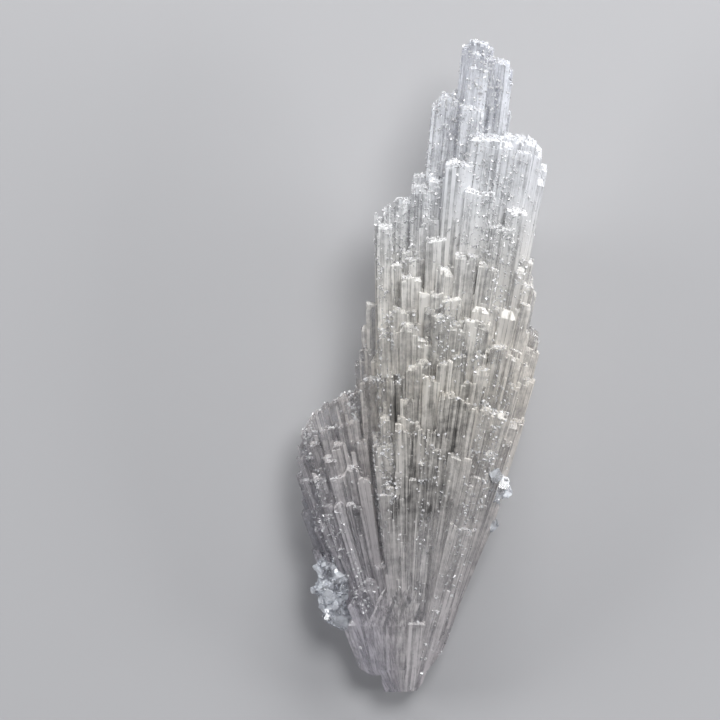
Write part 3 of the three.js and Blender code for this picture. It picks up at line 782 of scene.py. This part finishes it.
def scolecite_finish(material):
    """Glassy and milky scolecite mixed in streaks along the prisms, cooler towards the tips and warm in the
    middle, with painted light that makes it lighter towards the tips and painted shade that greys it at the
    left and at the root."""
    material.node_tree.nodes.clear()
    bench = Bench(material.node_tree)
    fibre = bench.node("ShaderNodeAttribute", {"attribute_name": "fibre"}).other("Vector")
    shade = bench.node("ShaderNodeAttribute", {"attribute_name": "shade"}).other("Fac")
    milk = bench.node("ShaderNodeAttribute", {"attribute_name": "milk"}).other("Fac")
    place = bench.node("ShaderNodeTexCoord").other("Object")

    def noise(where, detail, roughness=0.5):
        values = {"Vector": where, "Scale": 1.0, "Detail": detail, "Roughness": roughness}
        return bench.node("ShaderNodeTexNoise", {}, values) - 0.5

    lines = noise(fibre * line_grain, 3.0, 0.6)
    bands = noise(fibre * band_grain, 2.0)
    veils = noise(place * veil_grain, 4.0, 0.6)
    frost = noise(place * frost_grain, 3.0, 0.7)
    cloud = milk + (shade - 0.5) * 0.4 + lines * 1.1 + bands * 0.8 + veils * 1.1 + frost * 0.8
    cloud = cloud.held(0.15, 1.0, 0.08, 0.92)

    off = (place - tuple(fan_centre * mm)).parts()
    reach = off.other("Y")
    bearing = off.math("ARCTAN2", reach)
    zone = bench.node("ShaderNodeValToRGB", {"stops": reach_colours_and_shading}, {0: reach / longest_reach})
    flank = bearing.held(-widest_bearing, widest_bearing)
    flank = bench.node("ShaderNodeValToRGB", {"stops": flank_tints_and_shading}, {0: flank})
    dark = (lines * 1.2 + bands * 0.8 + (shade - 0.5) * 0.3 + 0.85).held(0.3, 1.0, 0.55, 1.0)
    product = {"data_type": "RGBA", "blend_type": "MULTIPLY"}
    # The tint is partly the crystal's own colour and partly painted light and shade, from the two ramps
    tint = bench.node("ShaderNodeMix", product, {0: 1.0, 6: zone, 7: flank}).other("Result") * dark

    bumped = bench.node("ShaderNodeBump", {}, {
        "Strength": 0.5, "Distance": 0.00006, "Height": lines * 0.7 + bands * 0.5 + frost * 0.4,
    })
    glassy = bench.node("ShaderNodeBsdfPrincipled", {}, {
        "Base Color": tint * 0.3 + (0.66, 0.67, 0.7),
        "Roughness": (lines * 0.3 + 0.1).held(0.02, 0.3, 0.02, 0.3),
        "IOR": scolecite_ior,
        "Transmission Weight": 1.0,
        "Normal": bumped,
    })
    milky = bench.node("ShaderNodeBsdfPrincipled", {}, {
        "Base Color": tint,
        "Roughness": 0.3,
        "IOR": scolecite_ior,
        "Transmission Weight": 0.22,
        "Normal": bumped,
    })
    mixed = bench.node("ShaderNodeMixShader", {}, {0: cloud, 1: glassy, 2: milky})
    bench.node("ShaderNodeOutputMaterial", {}, {"Surface": mixed})


scolecite_finish(scolecite)


# The sparkling grains
# Tiny blocky crystals of the same scolecite that grew last, like coarse sugar, on the ledges and on
# the faces. They are set on the prisms' surface by geometry nodes, thick in the spots given here.

# Spots by their middle, as seen from the front, and their radius, in millimetres
grain_spots = [
    (5.8, 27.0, 2.4), (4.2, 22.8, 2.0), (2.4, 24.7, 1.4), (3.9, 20.6, 1.8), (6.6, 17.1, 3.4),
    (7.2, 12.4, 2.8), (4.7, 15.3, 1.6), (-2.5, 14.7, 2.0), (0.4, 16.2, 2.4), (-2.0, 11.4, 1.8),
    (-0.2, 18.0, 1.0), (7.5, 7.6, 2.0), (2.3, 4.8, 1.1), (-3.4, 3.8, 1.0), (4.4, 1.4, 1.4),
    (6.9, -2.6, 1.7), (-4.4, -1.0, 0.9), (-6.3, -3.3, 1.2), (-10.5, -5.7, 1.0), (-3.6, -7.6, 1.3),
    (-2.9, -10.9, 1.3), (1.3, -9.0, 1.5), (6.2, -7.6, 1.5), (4.2, -14.7, 1.1), (6.4, -11.0, 1.1),
    (-4.3, -13.8, 0.8), (-9.6, -10.8, 1.0), (-5.6, -21.2, 0.8), (1.8, -27.0, 0.5), (-9.0, -15.0, 1.0),
]
spot_edge = (0.5, 1.2)  # where a spot starts to thin out and ends, in shares of its radius
front_tilt = (-0.2, 0.2)  # how far up a face looks where it starts to carry grains, and carries all
end_tilt = (0.5, 0.8)  # and how far to +Y a face looks that counts as an end
clear_height = (0.4 * mm, 0.8 * mm)  # above the floor, where grains start and where there are all
grain_stretch = (0.7, 1.3)  # of each side of a grain
small_share = 2.0  # the power that makes large grains rarer than small ones


def spot_points(spots):
    mesh = bpy.data.meshes.new("spots")
    mesh.from_pydata([(x * mm, y * mm, 0) for x, y, radius in spots], [], [])
    mark(mesh, "POINT", "radius", [radius * mm for x, y, radius in spots])
    return mesh


def block_mesh(name, half, cut):
    """A block about the origin with its corners cut off, by half its sides."""
    shape = bmesh.new()
    for signs in [(x, y, z) for x in (-1, 1) for y in (-1, 1) for z in (-1, 1)]:
        for axis in range(3):
            corner = Vector(sign * side for sign, side in zip(signs, half))
            corner[axis] -= signs[axis] * cut
            shape.verts.new(corner)
    bmesh.ops.convex_hull(shape, input=shape.verts)
    bmesh.ops.dissolve_limit(shape, angle_limit=0.01, verts=shape.verts, edges=shape.edges)
    mesh = bpy.data.meshes.new(name)
    shape.to_mesh(mesh)
    shape.free()
    return mesh


def crust_growth(name, joins):
    """Grows small crystals on a surface, thick in the spots and on the ends that look to +Y, and thin
    elsewhere. With joins they are joined with what they grow on in one body, and otherwise they are
    alone."""
    bench, given = new_growth(name, {
        "Grain": "Object", "Spots": "Object", "In Spots": "Float", "On Ends": "Float", "Elsewhere": "Float",
        "Smallest": "Float", "Largest": "Float", "Seed": "Int", "Material": "Material",
    })
    here = bench.node("GeometryNodeInputPosition")
    normal = bench.node("GeometryNodeInputNormal")
    flat = here * (1.0, 1.0, 0.0)
    spots = bench.object_shape(given["Spots"])
    nearest = bench.node("GeometryNodeSampleNearest", {}, {"Geometry": spots, "Sample Position": flat})
    middle = bench.node("GeometryNodeSampleIndex", {"data_type": "FLOAT_VECTOR"}, {
        "Geometry": spots, "Value": here, "Index": nearest,
    })
    radius = bench.node("GeometryNodeSampleIndex", {"data_type": "FLOAT"}, {
        "Geometry": spots, "Value": bench.attribute("radius"), "Index": nearest,
    })
    away = (flat - middle).vector("LENGTH") / radius
    looks = normal.parts()
    in_front = looks.other("Z").held(*front_tilt) * here.parts().other("Z").held(*clear_height)
    on_end = looks.other("Y").held(*end_tilt)
    density = away.held(*spot_edge, 1.0, 0.0) * given["In Spots"] + on_end * given["On Ends"]
    density = (density + given["Elsewhere"]) * in_front
    scattered = bench.node("GeometryNodeDistributePointsOnFaces", {}, {
        "Mesh": given["Geometry"], "Density": density, "Seed": given["Seed"],
    })
    index = bench.node("GeometryNodeInputIndex")
    size = bench.chance(0.0, 1.0, given["Seed"] + 1.0, index) ** small_share
    size = given["Smallest"] + (given["Largest"] - given["Smallest"]) * size
    turn = bench.chance((0.0, 0.0, 0.0), (6.3, 6.3, 6.3), given["Seed"] + 2.0, index)
    least, most = grain_stretch
    stretch = bench.chance((least, least, least), (most, most, most), given["Seed"] + 3.0, index)
    placed = bench.node("GeometryNodeInstanceOnPoints", {}, {
        "Points": scattered,
        "Instance": bench.object_shape(given["Grain"]),
        "Rotation": turn,
        "Scale": stretch * size,
    })
    grains = bench.node("GeometryNodeRealizeInstances", {}, {"Geometry": placed})
    if joins:
        both = bench.node("GeometryNodeJoinGeometry", {}, {"Geometry": [given["Geometry"], grains]})
        grains = bench.boolean("UNION", [bench.split_apart(both)])
    return bench.finish(grains, given["Material"])


grain_rings = [[(x, y, z) for x, y, _ in square] for z in (-0.5, 0.5)]
helpers = {
    "Grain": new_object("grain", ringed_mesh("grain", grain_rings)),
    "Spots": new_object("spots", spot_points(grain_spots)),
}
sugar = new_material("sugary scolecite")
grains = grown("sparkling_grains", crust_growth("grain growth", False), spray.data, {
    **helpers,
    "In Spots": 14.0 / mm ** 2,
    "On Ends": 6.0 / mm ** 2,
    "Elsewhere": 0.12 / mm ** 2,
    "Smallest": 0.09 * mm,
    "Largest": 0.23 * mm,
    "Seed": 11,
    "Material": sugar,
})
clear_away(helpers)
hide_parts("scolecite_spray")
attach(grains, "root")


glass_veil_grain = 900.0  # a metre
veil_edge = 0.25  # from the noise where a veil starts to where it is thickest
veil_cloud = (0.1, 0.85)  # how milky the crystal is beside its veils and in them


def glassy_finish(material, colour, clear_share, milky_colour):
    """Clear crystal with milky veils in it, and faintly uneven faces."""
    material.node_tree.nodes.clear()
    bench = Bench(material.node_tree)
    place = bench.node("ShaderNodeTexCoord").other("Object") * glass_veil_grain
    veils = bench.node("ShaderNodeTexNoise", {}, {"Vector": place, "Scale": 1.0, "Detail": 3.0})
    bumped = bench.node("ShaderNodeBump", {}, {"Strength": 0.25, "Distance": 0.00005, "Height": veils})
    glassy = bench.node("ShaderNodeBsdfPrincipled", {}, {
        "Base Color": colour,
        "Roughness": 0.03,
        "IOR": scolecite_ior,
        "Transmission Weight": 1.0,
        "Normal": bumped,
    })
    milky = bench.node("ShaderNodeBsdfPrincipled", {}, {
        "Base Color": milky_colour,
        "Roughness": 0.15,
        "IOR": scolecite_ior,
        "Transmission Weight": 0.4,
        "Normal": bumped,
    })
    cloud = veils.held(clear_share, clear_share + veil_edge, *veil_cloud)
    mixed = bench.node("ShaderNodeMixShader", {}, {0: cloud, 1: glassy, 2: milky})
    bench.node("ShaderNodeOutputMaterial", {}, {"Surface": mixed})


glassy_finish(sugar, (0.97, 0.98, 1.0, 1), 0.3, (0.97, 0.97, 0.98, 1))


# The glassy side crystals
# A cluster of blocky crystals of another habit, clear as glass with a faint blue, that grew on the lower
# left side of the prisms. Small blocks crowd its upper part, and the lump below is bare and smooth.

# Middle, half sides and turns about X, Y and Z of each block, in millimetres and degrees
glassy_blocks = [
    ((-8.6, -19.4, 5.2), (0.95, 1.15, 1.0), (14, -18, 12)),
    ((-9.0, -20.6, 4.6), (0.8, 0.95, 1.1), (-20, 10, -24)),
    ((-8.1, -21.0, 5.5), (1.0, 0.9, 0.85), (30, 16, 8)),
    ((-8.5, -22.2, 4.7), (0.9, 0.8, 0.9), (-12, -26, 20)),
    ((-7.8, -23.4, 4.2), (1.15, 1.05, 1.0), (8, 12, -28)),
    ((-9.0, -18.5, 4.4), (0.6, 0.7, 0.8), (24, 20, -10)),
    ((-7.7, -19.8, 6.0), (0.65, 0.65, 0.65), (-26, 34, 16)),
]
block_cut = 0.34  # share of the smallest half side that is cut off each corner
small_block_cut = 0.16  # of a block with sides of 1
crowded_spots = [(-8.6, -20.7, 2.0), (-8.8, -18.6, 0.9), (-8.5, -22.3, 0.8)]


def block_group(blocks):
    shape = bmesh.new()
    for at, half, turns in blocks:
        mesh = block_mesh("block", [side * mm for side in half], min(half) * block_cut * mm)
        turn = Euler([math.radians(angle) for angle in turns]).to_matrix().to_4x4()
        mesh.transform(Matrix.Translation((Vector(at) + origin_shift) * mm) @ turn)
        shape.from_mesh(mesh)
        bpy.data.meshes.remove(mesh)
    mesh = bpy.data.meshes.new("blocks")
    shape.to_mesh(mesh)
    shape.free()
    return mesh


helpers = {
    "Grain": new_object("grain", block_mesh("grain", (0.5, 0.5, 0.5), small_block_cut)),
    "Spots": new_object("spots", spot_points(crowded_spots)),
}
clear_crystal = new_material("clear crystal")
cluster = grown("glassy_cluster", crust_growth("cluster growth", True), block_group(glassy_blocks), {
    **helpers,
    "In Spots": 9.0 / mm ** 2,
    "On Ends": 0.0,
    "Elsewhere": 0.02 / mm ** 2,
    "Smallest": 0.18 * mm,
    "Largest": 0.62 * mm,
    "Seed": 4,
    "Material": clear_crystal,
})
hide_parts("glassy_side_crystals")
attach(cluster, "root")
glassy_finish(clear_crystal, (0.95, 0.97, 1.0, 1), 0.36, (0.92, 0.95, 1.0, 1))


# The clear bumps
# A few small glassy crystals of the same kind, which sit on the ledges along the right edge of the
# prisms. They are blocks half sunk in the prisms, with the cluster's small blocks grown on them.

bump_blocks = [
    ((6.9, -9.8, 9.9), (0.55, 0.6, 0.6), (20, 10, 30)),
    ((7.5, -10.6, 9.1), (0.6, 0.6, 0.6), (-10, 30, -15)),
    ((7.1, -11.4, 8.9), (0.65, 0.55, 0.6), (35, -12, 50)),
    ((7.8, -11.5, 7.9), (0.6, 0.6, 0.55), (0, 40, 20)),
    ((6.9, -12.2, 8.5), (0.5, 0.5, 0.6), (-30, 5, 10)),
    ((6.7, -14.6, 7.4), (0.5, 0.55, 0.5), (15, 20, -40)),
]
bumps = grown("clear_bumps", crust_growth("bump growth", True), block_group(bump_blocks), {
    **helpers,
    "In Spots": 0.0,
    "On Ends": 0.0,
    "Elsewhere": 0.8 / mm ** 2,
    "Smallest": 0.2 * mm,
    "Largest": 0.5 * mm,
    "Seed": 6,
    "Material": clear_crystal,
})
clear_away(helpers)
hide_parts("scolecite_spray")
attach(bumps, "root")


# The view, the floor and the light
# The camera looks straight down on the lying spray, a pale floor is under it, and four soft boxes and
# a faint bluish surround light it.

camera_data = bpy.data.cameras.new("camera")
camera_data.lens = 200
camera_data.clip_start = 0.01
camera_data.clip_end = 2
camera = new_object("camera", camera_data)
camera.location = (-5.8 * mm, 0.95 * mm, 0.388)
bpy.context.scene.camera = camera

floor_mesh = bpy.data.meshes.new("floor")
floor_mesh.from_pydata([(-1, -1, 0), (1, -1, 0), (1, 1, 0), (-1, 1, 0)], [], [(0, 1, 2, 3)])
floor = new_object("floor", floor_mesh)
floor_paint = new_material("pale floor")
floor_coat = floor_paint.node_tree.nodes["Principled BSDF"].inputs
floor_coat["Base Color"].default_value = (0.4, 0.4, 0.41, 1)
floor_coat["Roughness"].default_value = 1
floor_coat["Specular IOR Level"].default_value = 0.1
floor_mesh.materials.append(floor_paint)

# Soft boxes: their middles, sizes and powers
soft_boxes = [
    ("above", (0.1, 0.16, 0.34), 0.16, 1.0),
    ("beyond the tips", (0.06, 0.34, 0.13), 0.16, 1.15),
    ("left", (-0.32, 0.03, 0.1), 0.14, 0.8),
    ("right", (0.32, 0.0, 0.09), 0.14, 0.8),
]
for name, place, size, power in soft_boxes:
    lamp_data = bpy.data.lights.new(name, "AREA")
    lamp_data.size = size
    lamp_data.energy = power
    lamp = new_object(name, lamp_data)
    lamp.location = place
    lamp.rotation_mode = "QUATERNION"
    lamp.rotation_quaternion = (-Vector(place)).to_track_quat("-Z", "Y")

world = bpy.data.worlds.new("studio")
world.use_nodes = True
world.node_tree.nodes["Background"].inputs["Color"].default_value = (0.8, 0.85, 1.0, 1)
world.node_tree.nodes["Background"].inputs["Strength"].default_value = 0.12
bpy.context.scene.world = world
bpy.context.scene.view_settings.view_transform = "Standard"
